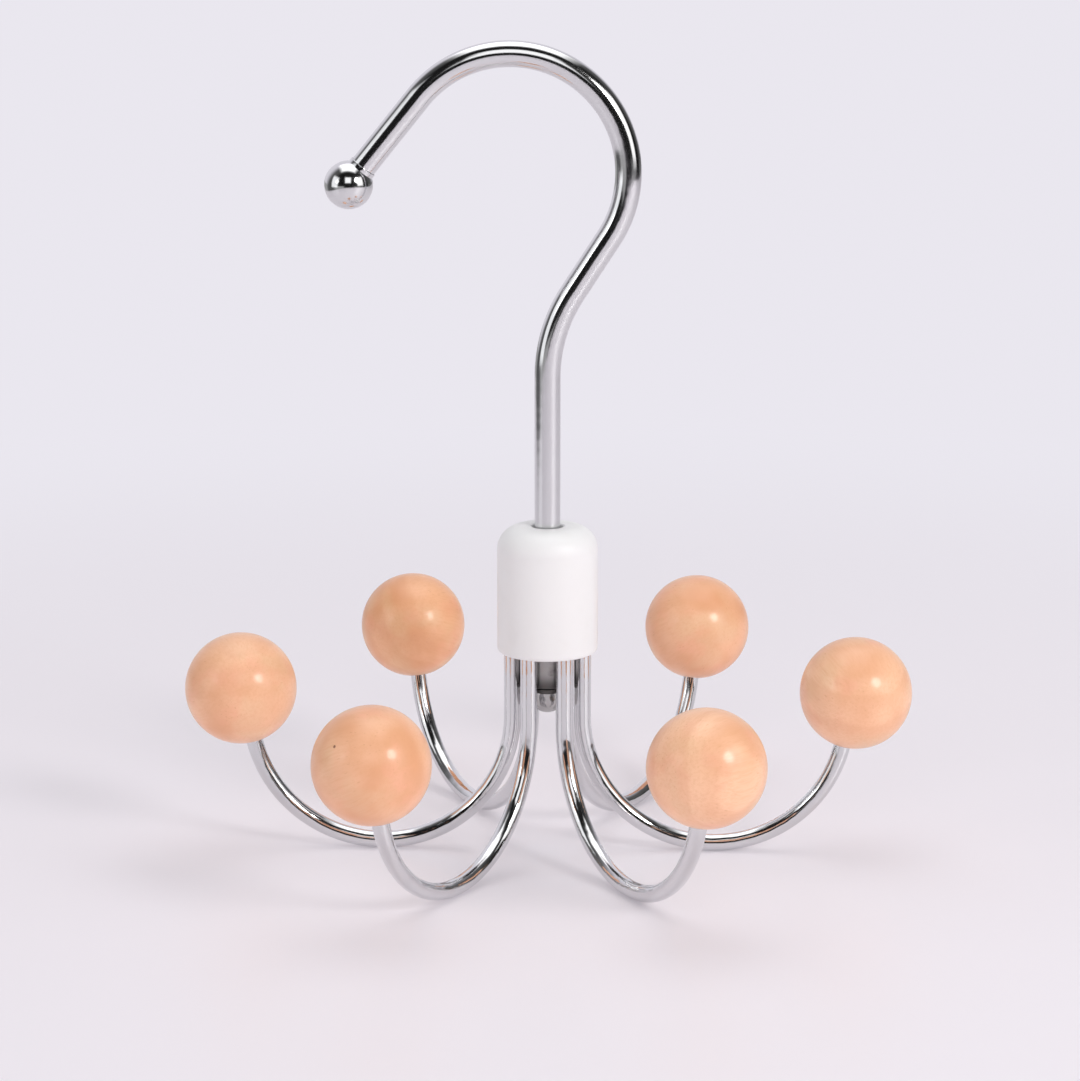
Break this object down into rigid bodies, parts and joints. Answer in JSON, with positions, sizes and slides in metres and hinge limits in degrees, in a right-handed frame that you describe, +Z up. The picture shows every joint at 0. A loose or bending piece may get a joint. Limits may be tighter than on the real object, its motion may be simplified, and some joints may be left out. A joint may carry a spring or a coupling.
{
  "type": "rotating multi-hook hanger",
  "caption": "Closet-rail hook that turns in a capped hub over a ring of upturned wire arms, each ending in a wooden ball, for hanging straps, belts, ties or scarves.",
  "frame": {"origin": "on the swivel axis, at the level of the surface that the arms' bends stand on", "axes": "+Z up along the swivel axis; +X along the first arm, away from the hook's open side; +Y square to the hook's plane"},
  "size_m": [0.142, 0.126, 0.1581],
  "materials": {
    "chrome": "bright plated steel wire",
    "dark_steel": "dark, plain turned steel",
    "white_plastic": "smooth white moulding, soft sheen",
    "wood": "pale pinkish tan wood, sanded and clear-lacquered"
  },
  "bodies": {
    "carrier": {"centre_bush": "dark_steel", "hub_cover": "white_plastic", "arm_1": "chrome", "arm_2": "chrome", "arm_3": "chrome", "arm_4": "chrome", "arm_5": "chrome", "arm_6": "chrome", "ball_1": "wood", "ball_2": "wood", "ball_3": "wood", "ball_4": "wood", "ball_5": "wood", "ball_6": "wood"},
    "hook": {"hook_wire": "chrome", "hook_tip_ball": "chrome", "stop_collar": "dark_steel", "upper_washer": "dark_steel", "lower_washer": "dark_steel", "end_cap": "chrome"}
  },
  "joints": [
    {"name": "hook_swivel", "type": "hinge", "parent": "carrier", "child": "hook", "pos_m": [0, 0, 0.03387], "axis": [0, 0, 1], "continuous": true}
  ]
}
